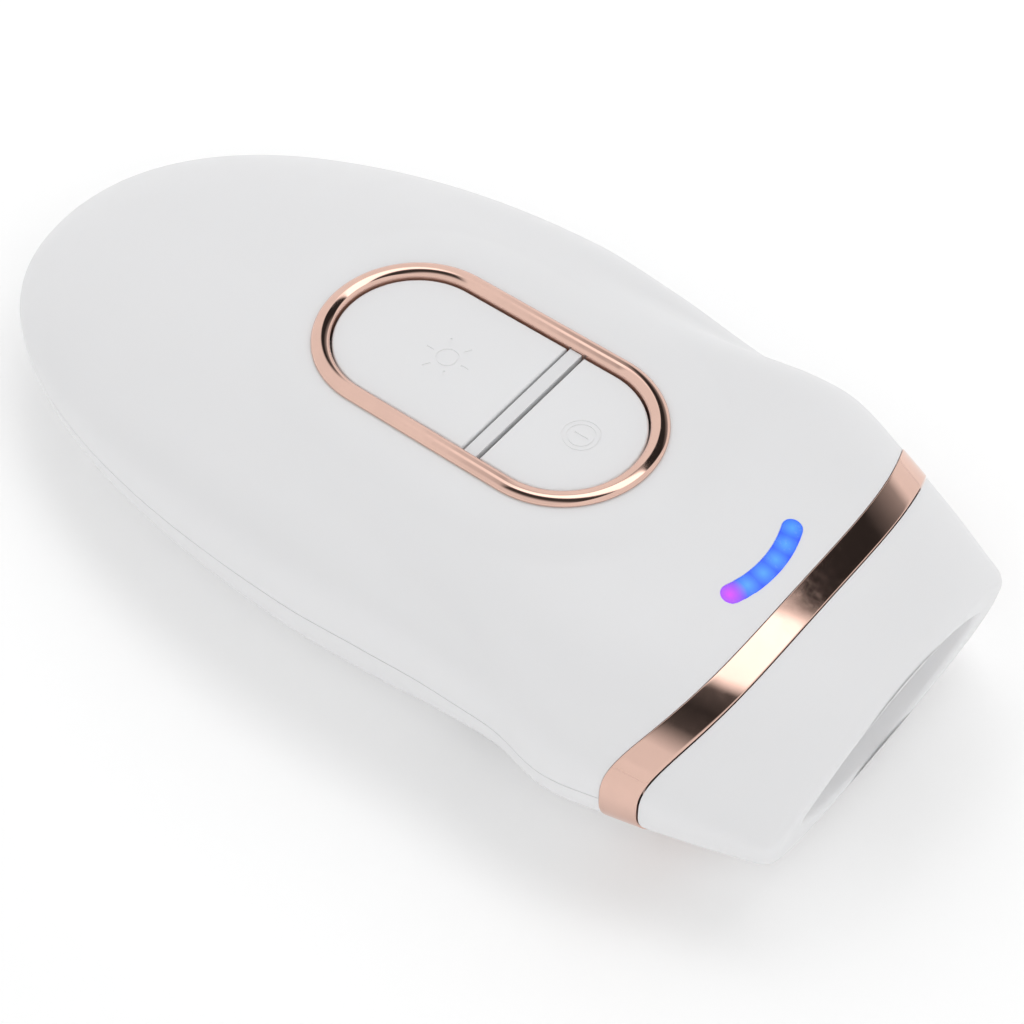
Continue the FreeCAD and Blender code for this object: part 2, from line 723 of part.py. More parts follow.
def fan_housing():
    frame = rounded_plate(fan_size, fan_size, fan_depth, 1.5, V(0, 0, 0))
    frame = frame.cut(rod(9.3, fan_depth + 2, V(0, 0, -1)))
    hub = rod(4.6, 1.0, V(0, 0, 0))
    spokes = []
    for k in range(3):
        spoke = box(4, 9.8, -0.6, 0.6, 0, 1.0)
        spoke.rotate(V(0, 0, 0), Z_AXIS, 120 * k + 20)
        spokes.append(spoke)
    frame = frame.fuse([hub] + spokes).removeSplitter()
    corner = fan_size / 2 - 2.2
    for x in (-corner, corner):
        for y in (-corner, corner):
            frame = frame.cut(rod(1.0, fan_depth + 2, V(x, y, -1)))
    return set_fan(frame)


def fan_motor():
    coil = rod(2.9, 2.6, V(0, 0, 1.0)).cut(rod(0.85, 5, V(0, 0, 0.5)))
    return set_fan(coil)


def blade_section(x, low_y, high_y, low_z, high_z):
    """Slanted outline of a blade, 0.4 thick, at a distance x from the hub's axis."""
    return Part.makePolygon([V(x, low_y, low_z), V(x, low_y + 0.4, low_z), V(x, high_y + 0.4, high_z),
                             V(x, high_y, high_z), V(x, low_y, low_z)])


def fan_rotor():
    """Hub cup, shaft and seven twisted blades."""
    cup = rod(4.3, 4.7, V(0, 0, 1.5)).cut(rod(3.4, 3.2, V(0, 0, 1.0)))
    shaft = rod(0.8, 5.2, V(0, 0, 1.1))
    rotor = cup.fuse(shaft)
    for k in range(7):
        root, tip = blade_section(4.0, -1.1, 1.1, 2.0, 5.9), blade_section(8.8, -2.4, 1.5, 2.2, 5.6)
        blade = Part.makeLoft([root, tip], True, True)
        blade.rotate(V(0, 0, 0), Z_AXIS, 360 / 7 * k)
        rotor = rotor.fuse(blade)
    return set_fan(rotor.removeSplitter())


def set_fan(shape):
    placed = shape.copy()
    placed.rotate(V(0, 0, 0), Y_AXIS, 90)
    placed.translate(V(fan_x, 0, fan_z))
    return placed


# Power inlet

def dc_jack_body(room):
    nose = rod(jack_nose_radius, 8.0, V(jack_face_x, 0, jack_z), X_AXIS)
    block = box(jack_face_x + 4.0, jack_face_x + 11.5, -3.6, 3.6, jack_z - 3.4, jack_z + 3.4)
    block = block.common(room)
    body = nose.fuse(block).removeSplitter()
    return body.cut(rod(jack_bore_radius, 9.5, V(jack_face_x - 0.5, 0, jack_z), X_AXIS))


def dc_jack_pin():
    pin = rod(jack_pin_radius, 8.0, V(jack_face_x + 1.0, 0, jack_z), X_AXIS)
    return pin.makeFillet(0.25, [min(pin.Edges, key=lambda e: e.CenterOfMass.x)])


# Screws of the casing, driven from below, and the soft plugs over them

screw_head_z = -9.0


def case_screws():
    screws = []
    for x, y in screw_places:
        head = rod(2.3, 1.6, V(x, y, screw_head_z - 1.6)).cut(
            [box(x - 1.6, x + 1.6, y - 0.3, y + 0.3, screw_head_z - 3, screw_head_z - 0.9),
             box(x - 0.3, x + 0.3, y - 1.6, y + 1.6, screw_head_z - 3, screw_head_z - 0.9)])
        shank = rod(0.9, 14.0, V(x, y, screw_head_z))
        screws += both_sides(head.fuse(shank).removeSplitter())
    return Part.makeCompound(screws)


def screw_plugs(outer):
    plugs = []
    for x, y in screw_places:
        plug = rod(2.56, 30, V(x, y, screw_head_z - 31.7)).common(outer)
        plugs += both_sides(plug)
    return Part.makeCompound(plugs)


# Leads

def lamp_leads():
    tip = set_on_face(Part.Vertex(V(lamp_x, lamp_half_length + 3.55, 0))).Point
    right = lead([(98, -20, -4.1), (106, -19.5, -3.6), (124, -24, -2), (136, -27, -1.5),
                  (tip.x, -27.5, tip.z), (tip.x, -tip.y, tip.z)])
    left = lead([(97, 1.5, -4.1), (101, 6.5, -4.1), (108, 15, -4), (122, 25, -3), (136, 27, -1.5),
                 (tip.x, 27.5, tip.z), (tip.x, tip.y, tip.z)])
    return Part.makeCompound([right, left])


def jack_leads():
    x = jack_face_x + 11.9
    leads = []
    for y in (-2.2, 1.8):
        leads.append(lead([(x, y, jack_z), (x + 8, y, -5.6), (35, y - 0.5, -4.6), (45.4, y - 0.5, -4.1)]))
    return Part.makeCompound(leads)


def capacitor_leads():
    x = capacitor_x + capacitor_length
    leads = []
    for dy in (-3, 3):
        leads.append(lead([(x + 0.1, capacitor_y + dy, capacitor_z), (x + 6, capacitor_y + dy, -2.5),
                           (x + 8 + dy, 6, -3.4), (x + 8 + dy, 1.5, -4.3)], 0.6, 3.0))
    return Part.makeCompound(leads)


def fan_leads():
    leads = []
    for dx in (-0.8, 0.8):
        leads.append(lead([(fan_x + 3 + dx, -10.7, -4 + dx), (fan_x + 1 + dx, -14, -4.0 + dx / 2),
                           (107, -14 - dx, -4.1), (103, -14 - dx, -4.2)], 0.6, 2.5))
    return Part.makeCompound(leads)


def signal_ribbon():
    """Flat ribbon from the switch board to the light-arc board."""
    start = set_on_plateau(Part.Vertex(V(19.4, 0, switch_board_top + 0.25))).Point
    end_z, over_fan_z = lens_underside_z() - 1.9, fan_z + fan_size / 2 + 0.9
    path = round_path([start, start + V(2.2, 0, 0), V(fan_x - 1, 0, over_fan_z),
                       V(fan_x + fan_depth + 1, 0, over_fan_z), V(arc_x - 10, 0, end_z),
                       V(arc_x - 6.05, 0, end_z)], 3.0)
    corners = ((-4, -0.15), (4, -0.15), (4, 0.15), (-4, 0.15), (-4, -0.15))
    strip = Part.makePolygon([start + V(0, y, z) for y, z in corners])
    return path.makePipeShell([strip], True, False)


# Put together

outer_skin = skin(0.0).common(box(-10, 180, -60, 60, foot_z, 60))
inner_skin, collar_skin = skin(wall), skin(wall + collar_wall)
proud_skin = skin(-band_proud)
middle_skin = skin(wall * 0.5)
grip = outer_skin.common(behind(band_back_side_x, band_back_bulge, -band_gap))

nodes = {
    "top_casing": top_casing(grip, inner_skin, middle_skin),
    "bottom_casing": bottom_casing(grip, inner_skin, middle_skin),
    "head_casing": head_casing(outer_skin, inner_skin, collar_skin),
    "neck_band": neck_band(proud_skin, inner_skin),
    "indicator_lens": indicator_lens(outer_skin, collar_skin),
    "indicator_leds": indicator_leds(),
    "indicator_board": indicator_board(),
    "main_board": main_board(),
    "board_screws": board_screws(),
    "flash_capacitor": flash_capacitor(),
    "transformer_core": transformer_core(),
    "transformer_winding": transformer_winding(),
    "trigger_coil": trigger_coil(),
    "board_controller": board_controller(),
    "fan_housing": fan_housing(),
    "fan_motor": fan_motor(),
    "fan_rotor": fan_rotor(),
    "dc_jack_body": dc_jack_body(inner_skin),
    "dc_jack_pin": dc_jack_pin(),
    "case_screws": case_screws(),
    "screw_plugs": screw_plugs(outer_skin),
    "lamp_leads": lamp_leads(),
    "jack_leads": jack_leads(),
    "capacitor_leads": capacitor_leads(),
    "fan_leads": fan_leads(),
    "signal_ribbon": signal_ribbon(),
}
for name, shape in {"button_ring": button_ring(), "button_frame": button_frame(),
                    "flash_button": flash_button(), "power_button": power_button(),
                    "switch_board": switch_board(),
                    "flash_switch_body": switch_body(stem_places["flash"]),
                    "power_switch_body": switch_body(stem_places["power"]),
                    "flash_switch_plunger": switch_plunger(stem_places["flash"]),
                    "power_switch_plunger": switch_plunger(stem_places["power"])}.items():
    nodes[name] = set_on_plateau(shape)
for name, shape in {"window_frame": window_frame(), "filter_glass": filter_glass(),
                    "reflector": reflector(), "lamp_tube": lamp_tube(),
                    "lamp_electrodes": lamp_electrodes(), "lamp_holders": lamp_holders(),
                    "heat_sink": heat_sink()}.items():
    nodes[name] = set_on_face(shape)

whole = FreeCAD.BoundBox()
for name in ("top_casing", "bottom_casing", "head_casing", "neck_band", "button_ring"):
    whole.add(nodes[name].optimalBoundingBox(False, False))
shift = V(-(whole.XMin + whole.XMax) / 2, -(whole.YMin + whole.YMax) / 2, -whole.ZMin)
print("size", round(whole.XLength, 2), round(whole.YLength, 2), round(whole.ZLength, 2), "shift", shift)

os.makedirs("parts", exist_ok=True)
for name, shape in nodes.items():
    placed = shape.copy()
    placed.translate(shift)
    print(name, len(placed.Solids), round(placed.Volume, 1), placed.isValid())
    placed.exportStep("parts/" + name + ".step")
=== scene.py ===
import json
import math

import bmesh
import bpy
import numpy as np
from mathutils import Matrix, Vector


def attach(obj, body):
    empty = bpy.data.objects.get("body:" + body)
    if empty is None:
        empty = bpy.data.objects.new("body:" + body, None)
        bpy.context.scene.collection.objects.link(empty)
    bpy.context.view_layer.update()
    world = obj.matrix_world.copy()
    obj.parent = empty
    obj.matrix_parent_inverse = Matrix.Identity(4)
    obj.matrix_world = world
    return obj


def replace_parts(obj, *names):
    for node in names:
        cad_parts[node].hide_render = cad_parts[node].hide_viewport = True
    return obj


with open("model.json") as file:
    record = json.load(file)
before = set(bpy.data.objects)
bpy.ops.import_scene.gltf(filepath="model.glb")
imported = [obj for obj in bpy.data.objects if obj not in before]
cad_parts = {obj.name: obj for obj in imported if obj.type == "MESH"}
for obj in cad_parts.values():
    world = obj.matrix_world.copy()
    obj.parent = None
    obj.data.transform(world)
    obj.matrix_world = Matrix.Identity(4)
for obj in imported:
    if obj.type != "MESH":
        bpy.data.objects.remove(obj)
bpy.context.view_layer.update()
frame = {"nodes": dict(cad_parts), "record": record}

# Looks of the hair remover. The outer shells, the plated band and the ring are rebuilt as fine meshes
# from the formula of the body. They are worked out in millimetres from the tail tip and then put
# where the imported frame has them.

record = frame["record"]
mounts = {m["name"]: m for m in record["mounts"]}
MM = 0.001

# Driving sizes of the body, in millimetres
TAIL_LENGTH = 81.0
BODY_LENGTH = 160.8
STATION_X = [81, 96, 107, 118, 128, 138, 149, 160]
HALF_WIDTH = [39.3, 38.3, 37.6, 38.4, 39.2, 36.8, 33.6, 29.7]
TOP_HEIGHT = [18.4, 18.5, 18.3, 17.6, 16.6, 15.2, 12.8, 9.8]
BOTTOM_DEPTH = [16.4, 16.6, 14.9, 13.0, 12.1, 11.7, 11.4, 11.1]
TAIL_POWER = {"width": 2.28, "top": 1.85, "bottom": 1.5}
TOP_POWER_X = [0, 81, 120, 160]
TOP_POWER = [1.81, 3.8, 3.85, 1.85]
BOTTOM_POWER = 2.9
SEAM_DROP_TAIL, SEAM_DROP_HEAD = 4.85, 2.0
FACE_TILT = math.radians(5.7)
FACE_Z = -2.7
VALLEY_PATH = [(22, 24, 0.0, 10), (40, 42, 0.4, 9), (60, 53, 0.8, 8.5), (82, 57, 1.1, 8), (96, 49, 1.6, 7),
               (107, 38, 1.9, 6.5), (114, 28, 1.6, 6.5), (119, 15, 1.1, 7), (120, -5, 1.0, 8),
               (118, -40, 1.4, 10), (115, -90, 1.3, 12)]
VALLEY_MM_PER_DEGREE = 0.5
BEAD_SPACING = 3.0
FOOT_Z = -17.85
JACK_Z, JACK_HOLE_RADIUS, JACK_HOLE_X = -6.0, 2.8, (-5.0, 18.8)
RING_HOLE_RADIUS = 14.25
VENT_ROWS_X, VENTS_IN_ROW, VENT_PITCH, VENT_HALF_LENGTH, VENT_RADIUS = (107.6, 124.0), 4, 3.2, 8.0, 0.8
SCREW_HOLES, SCREW_HOLE_RADIUS = ((27.0, 14.0), (111.0, 28.0)), 2.6
UPRIGHT_CUT_Z = (-30.0, -4.0)
WALL = 2.0
SEAM_GAP = 0.07
BAND_BACK, BAND_FRONT = (137.7, 5.2), (142.3, 4.9)
BAND_REACH, BAND_POWER, BAND_GAP, BAND_PROUD = 36.2, 3.5, 0.12, 0.15
RING_X, RING_Z, RING_PITCH = 88.05, 16.8, math.radians(-1.34)
RING_OUTER, RING_INNER, RING_SKIRT, RING_STRAIGHT, RING_RISE = 15.3, 12.45, 14.2, 13.9, 1.0
PLATEAU_BLEND = 9.0
ARC_X, ARC_HALF_SPAN, ARC_RADIUS, ARC_HALF_WIDTH = 138.25, 7.35, 20.5, 1.55
RECESS_HALF, RECESS_FLOOR_HALF, RECESS_DEPTH = (20.5, 8.8), (17.5, 6.2), 7.0
WINDOW_HALF = (15.0, 4.5)
FACE_EDGE_RADIUS = 2.0

# The point (BODY_LENGTH, FACE_MOUNT_Y, FACE_Z) of the body is the record's treatment face mount.
FACE_MOUNT_Y = 24.5
ORIGIN = Vector(mounts["treatment_face"]["pos_m"]) - Vector((BODY_LENGTH, FACE_MOUNT_Y, FACE_Z)) * MM


def place(points):
    """Millimetres from the tail tip to metres in the row frame."""
    return np.asarray(points, float) * MM + np.array(ORIGIN)


# Camera, lights and floor

CAMERA_AZIMUTH, CAMERA_ELEVATION = math.radians(38.58), math.radians(51.54)
CAMERA_EYE = (247.566, -194.351, 302.793)
CAMERA_LENS, CAMERA_SENSOR = 92.2, 36.0


def make_camera():
    azimuth, elevation = CAMERA_AZIMUTH, CAMERA_ELEVATION
    back = Vector((math.sin(azimuth) * math.cos(elevation), -math.cos(azimuth) * math.cos(elevation),
                   math.sin(elevation)))
    right = Vector((math.cos(azimuth), math.sin(azimuth), 0))
    up = back.cross(right)
    camera = bpy.data.objects.new("camera", bpy.data.cameras.new("camera"))
    camera.data.sensor_width = CAMERA_SENSOR
    camera.data.lens = CAMERA_LENS
    camera.data.clip_start, camera.data.clip_end = 0.01, 20
    eye = Vector(CAMERA_EYE) * MM + ORIGIN
    camera.matrix_world = Matrix.Translation(eye) @ Matrix((right, up, back)).transposed().to_4x4()
    bpy.context.scene.collection.objects.link(camera)
    bpy.context.scene.camera = camera


def area_light(name, position, target, size, power, colour=(1, 1, 1)):
    data = bpy.data.lights.new(name, "AREA")
    data.shape, data.size, data.size_y = "RECTANGLE", size[0], size[1]
    data.energy, data.color = power, colour
    light = bpy.data.objects.new(name, data)
    light.location = position
    light.visible_glossy = False
    light.rotation_mode = "QUATERNION"
    light.rotation_quaternion = (Vector(target) - Vector(position)).to_track_quat("-Z", "Y")
    bpy.context.scene.collection.objects.link(light)


AMBIENT = 0.97
FLOOR_HALF, FLOOR_DROP = 6.0, 0.0001


def make_world():
    """Bright studio: white all round, with dark and bright strips above that the plated parts mirror."""
    world = bpy.data.worlds.new("studio")
    bpy.context.scene.world = world
    world.use_nodes = True
    tree = world.node_tree
    split = tree.nodes.new("ShaderNodeSeparateXYZ")
    tree.links.new(tree.nodes.new("ShaderNodeTexCoord").outputs["Generated"], split.inputs[0])
    ramp = tree.nodes.new("ShaderNodeValToRGB")
    tree.links.new(ranged(tree, split.outputs["Y"], 0, 1, -1, 1), ramp.inputs["Fac"])
    stops = [(0.0, 0.90), (0.24, 0.90), (0.33, 0.45), (0.40, 0.08), (0.50, 0.04), (0.585, 0.10),
             (0.625, 1.9), (0.745, 2.1), (0.765, 0.03), (0.87, 0.03), (0.93, 0.25), (1.0, 0.60)]
    elements = ramp.color_ramp.elements
    made = [elements.new(at) for at, value in stops[1:-1]]
    for element, (at, value) in zip([elements[0]] + made + [elements[len(stops) - 1]], stops):
        element.color = (value, value, value, 1)
    sideways = tree.nodes.new("ShaderNodeMath")
    sideways.operation = "ABSOLUTE"
    tree.links.new(split.outputs["X"], sideways.inputs[0])
    inside = tree.nodes.new("ShaderNodeMath")
    inside.operation = "MULTIPLY"
    tree.links.new(ranged(tree, split.outputs["Z"], 0, 1, 0.30, 0.42), inside.inputs[0])
    tree.links.new(ranged(tree, sideways.outputs[0], 1, 0, 0.38, 0.46), inside.inputs[1])
    mix = tree.nodes.new("ShaderNodeMix")
    mix.data_type = "RGBA"
    mix.inputs["A"].default_value = (AMBIENT, AMBIENT, AMBIENT, 1)
    tree.links.new(inside.outputs[0], mix.inputs["Factor"])
    tree.links.new(ramp.outputs["Color"], mix.inputs["B"])
    tree.links.new(mix.outputs["Result"], tree.nodes["Background"].inputs["Color"])


def make_studio():
    scene = bpy.context.scene
    scene.view_settings.view_transform = "Standard"
    make_world()
    area_light("key", (-0.10, 0.55, 0.75), (0, 0, 0), (0.9, 0.6), 2.0)
    area_light("fill", (0.60, -0.70, 0.60), (0, 0, 0), (0.9, 0.9), 0.6)
    mesh = bpy.data.meshes.new("floor")
    half = FLOOR_HALF
    corners = [(-half, -half, 0), (half, -half, 0), (half, half, 0), (-half, half, 0)]
    mesh.from_pydata(corners, [], [(0, 1, 2, 3)])
    floor = bpy.data.objects.new("floor", mesh)
    floor.location.z = -FLOOR_DROP
    scene.collection.objects.link(floor)
    paper = plain_material("floor_paper", (0.95, 0.95, 0.95), 0.9,
                           cloud=9.0, cloud_depth=0.008, specular=0.2)
    shader = paper.node_tree.nodes["Principled BSDF"]
    shader.inputs["Emission Color"].default_value = (1, 1, 1, 1)
    shader.inputs["Emission Strength"].default_value = 0.09
    mesh.materials.append(paper)


# Materials

def new_material(name):
    material = bpy.data.materials.new(name)
    material.use_nodes = True
    return material, material.node_tree, material.node_tree.nodes["Principled BSDF"]


def object_place(tree):
    return tree.nodes.new("ShaderNodeTexCoord").outputs["Object"]


def noise(tree, scale, detail=3.0, roughness=0.5):
    node = tree.nodes.new("ShaderNodeTexNoise")
    node.inputs["Scale"].default_value = scale
    node.inputs["Detail"].default_value = detail
    node.inputs["Roughness"].default_value = roughness
    tree.links.new(object_place(tree), node.inputs["Vector"])
    return node.outputs["Fac"]


def ranged(tree, value, low, high, from_low=0.3, from_high=0.7):
    node = tree.nodes.new("ShaderNodeMapRange")
    node.inputs["From Min"].default_value, node.inputs["From Max"].default_value = from_low, from_high
    node.inputs["To Min"].default_value, node.inputs["To Max"].default_value = low, high
    tree.links.new(value, node.inputs["Value"])
    return node.outputs["Result"]


def blended(tree, factor, first, second):
    mix = tree.nodes.new("ShaderNodeMix")
    mix.data_type = "RGBA"
    mix.inputs["A"].default_value, mix.inputs["B"].default_value = (*first, 1), (*second, 1)
    tree.links.new(factor, mix.inputs["Factor"])
    return mix.outputs["Result"]


def grain(tree, shader, height, distance, strength=1.0):
    bump = tree.nodes.new("ShaderNodeBump")
    bump.inputs["Distance"].default_value = distance
    bump.inputs["Strength"].default_value = strength
    tree.links.new(height, bump.inputs["Height"])
    tree.links.new(bump.outputs["Normal"], shader.inputs["Normal"])


def plain_material(name, colour, roughness, metallic=0.0, cloud=60.0, cloud_depth=0.06, rough_spread=0.08,
                   grain_scale=2500.0, grain_depth=0.00001, specular=0.5):
    """Moulded or metal surface: slight colour clouds, uneven gloss and a fine grain."""
    material, tree, shader = new_material(name)
    clouds = noise(tree, cloud)
    darker = tuple(c * (1 - cloud_depth) for c in colour)
    tree.links.new(blended(tree, ranged(tree, clouds, 0, 1), darker, colour), shader.inputs["Base Color"])
    fine = noise(tree, grain_scale, 2.0)
    tree.links.new(ranged(tree, noise(tree, cloud * 6), max(roughness - rough_spread, 0.02),
                          roughness + rough_spread), shader.inputs["Roughness"])
    shader.inputs["Metallic"].default_value = metallic
    shader.inputs["Specular IOR Level"].default_value = specular
    grain(tree, shader, fine, grain_depth)
    return material


def shell_material(name, colour, roughness):
    """Satin white plastic: faint moulding clouds, spark-eroded grain and a little light under the skin."""
    material = plain_material(name, colour, roughness, cloud=35.0, cloud_depth=0.012, rough_spread=0.05,
                              grain_scale=3200.0, grain_depth=0.000006, specular=0.45)
    shader = material.node_tree.nodes["Principled BSDF"]
    shader.inputs["Subsurface Weight"].default_value = 0.08
    shader.inputs["Subsurface Radius"].default_value = (0.002, 0.0018, 0.0016)
    shader.inputs["Subsurface Scale"].default_value = 1.0
    return material


def plated_material(name, colour):
    """Mirror plating on plastic: long soft waves, faint haze and a few fine wipe marks."""
    material, tree, shader = new_material(name)
    shader.inputs["Metallic"].default_value = 1.0
    haze = noise(tree, 180.0, 4.0)
    darker = tuple(c * 0.93 for c in colour)
    tree.links.new(blended(tree, ranged(tree, haze, 0, 1), darker, colour), shader.inputs["Base Color"])
    tree.links.new(ranged(tree, noise(tree, 700.0, 4.0), 0.035, 0.10), shader.inputs["Roughness"])
    grain(tree, shader, noise(tree, 90.0, 2.0), 0.00004)
    return material


def lens_material():
    """Blue light guide with a brighter spot over each diode and a magenta end."""
    material, tree, shader = new_material("light_guide")
    where = object_place(tree)

    def near(point, radius):
        distance = tree.nodes.new("ShaderNodeVectorMath")
        distance.operation = "DISTANCE"
        distance.inputs[1].default_value = point
        tree.links.new(where, distance.inputs[0])
        return ranged(tree, distance.outputs["Value"], 1, 0, 0, radius)

    def on_arc(share):
        angle = share * math.asin(ARC_HALF_SPAN / ARC_RADIUS)
        x = ARC_X - ARC_RADIUS + ARC_RADIUS * math.cos(angle)
        y = ARC_RADIUS * math.sin(angle)
        return tuple(place([x, y, body_point(np.array([x]), np.array([math.pi / 2]), 0.0)[0, 2]]))

    total = None
    for share in (-0.62, -0.2, 0.2, 0.6, 1.0):
        spot = near(on_arc(share), 0.0021)
        if total is None:
            total = spot
            continue
        most = tree.nodes.new("ShaderNodeMath")
        most.operation = "MAXIMUM"
        tree.links.new(total, most.inputs[0])
        tree.links.new(spot, most.inputs[1])
        total = most.outputs[0]
    blue = blended(tree, total, (0.022, 0.075, 0.86), (0.10, 0.42, 1.0))
    end = near(on_arc(-1.03), 0.0026)
    mix = tree.nodes.new("ShaderNodeMix")
    mix.data_type = "RGBA"
    mix.inputs["B"].default_value = (0.88, 0.03, 0.84, 1)
    tree.links.new(end, mix.inputs["Factor"])
    tree.links.new(blue, mix.inputs["A"])
    tree.links.new(mix.outputs["Result"], shader.inputs["Emission Color"])
    shader.inputs["Base Color"].default_value = (0.02, 0.05, 0.30, 1)
    shader.inputs["Emission Strength"].default_value = 0.85
    tree.links.new(ranged(tree, noise(tree, 900.0), 0.16, 0.30), shader.inputs["Roughness"])
    grain(tree, shader, noise(tree, 1500.0), 0.00001)
    return material


def glass_material(name, colour, roughness=0.03):
    material, tree, shader = new_material(name)
    shader.inputs["Transmission Weight"].default_value = 1.0
    shader.inputs["IOR"].default_value = 1.46
    clouds = noise(tree, 120.0)
    darker = tuple(c * 0.92 for c in colour)
    tree.links.new(blended(tree, ranged(tree, clouds, 0, 1), darker, colour), shader.inputs["Base Color"])
    hazier = roughness + 0.05
    tree.links.new(ranged(tree, noise(tree, 400.0), roughness, hazier), shader.inputs["Roughness"])
    return material


SHELL_TONE = 0.86
ROUGHNESS = {"gloss_plastic": 0.35, "matte_plastic": 0.6, "rubber": 0.75, "brushed_steel": 0.35,
             "aluminium": 0.4, "cast_iron": 0.7, "brass": 0.35, "chrome": 0.08}
METALS = ("brushed_steel", "aluminium", "brass", "chrome")


def make_materials():
    made = {}
    for entry in record["materials"]:
        slot, kind, colour = entry["slot"], entry["class"], tuple(entry["base_color"][:3])
        if slot in ("shell_white", "button_white", "frame_plastic"):
            made[slot] = shell_material(slot, tuple(c * SHELL_TONE for c in colour), 0.40)
        elif slot == "rose_gold":
            made[slot] = plated_material(slot, (0.80, 0.54, 0.45))
        elif slot == "lens_blue":
            made[slot] = lens_material()
        elif kind == "glass":
            made[slot] = glass_material(slot, colour)
        else:
            made[slot] = plain_material(slot, colour, ROUGHNESS[kind], 1.0 if kind in METALS else 0.0)
    return made


# Body formula

def smooth_step(t):
    t = np.clip(t, 0.0, 1.0)
    return t * t * (3 - 2 * t)


def smooth_through(x, values):
    """Smooth curve through the station values, level where it meets the rounded tail."""
    xs, values = np.array(STATION_X, float), np.array(values, float)
    slopes = np.zeros(len(xs))
    slopes[1:-1] = (values[2:] - values[:-2]) / (xs[2:] - xs[:-2])
    slopes[-1] = (values[-1] - values[-2]) / (xs[-1] - xs[-2])
    i = np.clip(np.searchsorted(xs, x, side="right") - 1, 0, len(xs) - 2)
    h = xs[i + 1] - xs[i]
    s = np.clip((x - xs[i]) / h, 0.0, 1.0)
    return ((2 * s**3 - 3 * s**2 + 1) * values[i] + (s**3 - 2 * s**2 + s) * h * slopes[i]
            + (3 * s**2 - 2 * s**3) * values[i + 1] + (s**3 - s**2) * h * slopes[i + 1])


def body_size(x, values, power):
    u = np.clip((TAIL_LENGTH - x) / TAIL_LENGTH, 0.0, 1.0)
    tail = values[0] * np.maximum(1 - u**power, 0.0) ** (1 / power)
    return np.where(x >= TAIL_LENGTH, smooth_through(x, values), tail)


def seam_height(x):
    u = x / 160.0
    return -SEAM_DROP_TAIL * (1 - u) ** 2 - SEAM_DROP_HEAD * u**2


def valley_beads():
    """Round soft dents strung along the valley path: x, girth, strength and width of each."""
    found = []
    for (xa, ga, da, wa), (xb, gb, db, wb) in zip(VALLEY_PATH, VALLEY_PATH[1:]):
        length = math.hypot(xb - xa, (gb - ga) * VALLEY_MM_PER_DEGREE)
        count = math.ceil(length / BEAD_SPACING)
        for k in range(count):
            t = (k + 0.5) / count
            width, depth = wa + t * (wb - wa), da + t * (db - da)
            strength = depth * length / count / (width * math.sqrt(math.pi))
            girth = ga + t * (gb - ga)
            found += [(xa + t * (xb - xa), g, strength, width) for g in (girth, -180 - girth)]
    return found


BEADS = valley_beads()


def valley_depth(x, girth):
    total = np.zeros_like(x)
    for bead_x, bead_girth, strength, width in BEADS:
        away2 = (x - bead_x) ** 2 + ((girth - bead_girth) * VALLEY_MM_PER_DEGREE) ** 2
        total += strength * np.exp(-away2 / width**2)
    return total


def stadium_distance(x, y, radius):
    """Distance outside a stadium of that radius about the ring's centre."""
    return np.hypot(np.maximum(np.abs(x - RING_X) - RING_STRAIGHT, 0.0), y) - radius


def plateau_height(x):
    return RING_Z - math.tan(RING_PITCH) * (x - RING_X)


def body_point(x, turn, inset):
    """Points of the skin that lies inset inside the body, in millimetres; turn starts at the +Y side."""
    x, turn = np.broadcast_arrays(np.asarray(x, float), np.asarray(turn, float))
    upper = np.sin(turn) >= -1e-9
    b = np.maximum(body_size(x, HALF_WIDTH, TAIL_POWER["width"]) - inset, 1e-4)
    top = body_size(x, TOP_HEIGHT, TAIL_POWER["top"])
    bottom = body_size(x, BOTTOM_DEPTH, TAIL_POWER["bottom"])
    h = np.maximum(np.where(upper, top, bottom) - inset, 1e-4)
    n = np.where(upper, np.interp(x, TOP_POWER_X, TOP_POWER), BOTTOM_POWER)
    c, s = np.cos(turn), np.sin(turn)
    reach = (np.abs(c) ** n + np.abs(s) ** n) ** (-1 / n)
    y, z = b * c * reach, h * s * reach
    girth = np.degrees(np.arcsin(np.minimum(np.abs(s * reach) ** (n / 2), 1.0))) * np.where(upper, 1, -1)
    ny = np.copysign(np.abs(y / b) ** (n - 1) / b, y)
    nz = np.copysign(np.abs(z / h) ** (n - 1) / h, z)
    sink = valley_depth(x, girth) / np.hypot(ny, nz)
    y, z = y - sink * ny, z - sink * nz + seam_height(x)
    share = 1 - smooth_step(stadium_distance(x, y, RING_OUTER + 0.6) / PLATEAU_BLEND)
    z = np.where(upper, z + share * (plateau_height(x) - inset - z), np.maximum(z, FOOT_Z))
    forward = smooth_step((x - BAND_BACK[0]) / (BODY_LENGTH - BAND_BACK[0]))
    return np.stack([x + forward * math.tan(FACE_TILT) * (z - FACE_Z), y, z], axis=-1)


def on_band_edge(edge, shift, turn, inset):
    """Section parameter x where the skin meets a band edge, for each turn."""
    side_x, bulge = edge
    x = np.full_like(turn, side_x)
    for _ in range(30):
        p = body_point(x, turn, inset)
        goal = side_x + shift + bulge * (1 - np.abs(p[..., 1] / BAND_REACH) ** BAND_POWER)
        x = x + 0.8 * (goal - p[..., 0])
    return x


# Mesh helpers

def grid_faces(rows, columns, closed):
    """Quads of a grid of points, row after row; a closed grid joins its last column to its first."""
    faces = []
    last = columns if closed else columns - 1
    for i in range(rows - 1):
        low, high = i * columns, (i + 1) * columns
        for j in range(last):
            k = (j + 1) % columns
            faces.append((low + j, low + k, high + k, high + j))
    return faces


